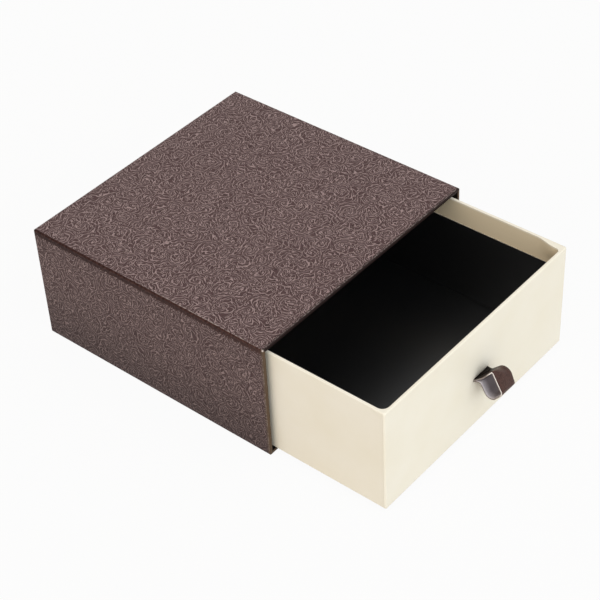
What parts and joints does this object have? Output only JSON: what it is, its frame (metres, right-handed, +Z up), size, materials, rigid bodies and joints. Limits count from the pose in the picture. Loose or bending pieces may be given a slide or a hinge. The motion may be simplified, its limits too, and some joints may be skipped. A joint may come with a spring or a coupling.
{
  "type": "sliding drawer gift box",
  "caption": "Rigid paper gift box: a lined drawer with a folded strip pull slides out of a wrapped board sleeve with a closed back.",
  "frame": {"origin": "the middle of the underside of the sleeve", "axes": "+X across the opening, to the right when the pull faces you; the drawer pulls out towards -Y; +Z up"},
  "size_m": [0.12, 0.1825, 0.0525],
  "materials": {
    "greyboard": "raw greyboard, 1 mm in the sleeve and 0.8 mm in the drawer",
    "printed_paper": "dark brown paper printed with a lighter tone-on-tone floral scroll, matt with a faint sheen",
    "black_paper": "black uncoated lining paper",
    "kraft_tape": "gummed kraft paper",
    "cream_paper": "cream art paper, matt with a soft sheen",
    "black_card": "black coated card, satin",
    "leatherette": "dark brown leatherette with a pale cut edge"
  },
  "bodies": {
    "sleeve": {"sleeve_board_top": "greyboard", "sleeve_board_bottom": "greyboard", "sleeve_board_left": "greyboard", "sleeve_board_right": "greyboard", "sleeve_board_back": "greyboard", "sleeve_wrap": "printed_paper", "sleeve_base_sheet": "printed_paper", "sleeve_back_sheet": "printed_paper", "sleeve_lining": "black_paper", "sleeve_lining_back": "black_paper"},
    "drawer": {"drawer_board_base": "greyboard", "drawer_board_front": "greyboard", "drawer_board_back": "greyboard", "drawer_board_left": "greyboard", "drawer_board_right": "greyboard", "drawer_stay_front_left": "kraft_tape", "drawer_stay_front_right": "kraft_tape", "drawer_stay_back_left": "kraft_tape", "drawer_stay_back_right": "kraft_tape", "pull_patch": "kraft_tape", "drawer_wrap": "cream_paper", "drawer_base_sheet": "cream_paper", "drawer_lining_floor": "black_card", "drawer_lining_front": "black_card", "drawer_lining_back": "black_card", "drawer_lining_left": "black_card", "drawer_lining_right": "black_card", "pull_loop": "leatherette"}
  },
  "joints": [
    {"name": "drawer_slide", "type": "slide", "parent": "sleeve", "child": "drawer", "axis": [0, -1, 0], "range_m": [-0.052, 0.064]}
  ]
}
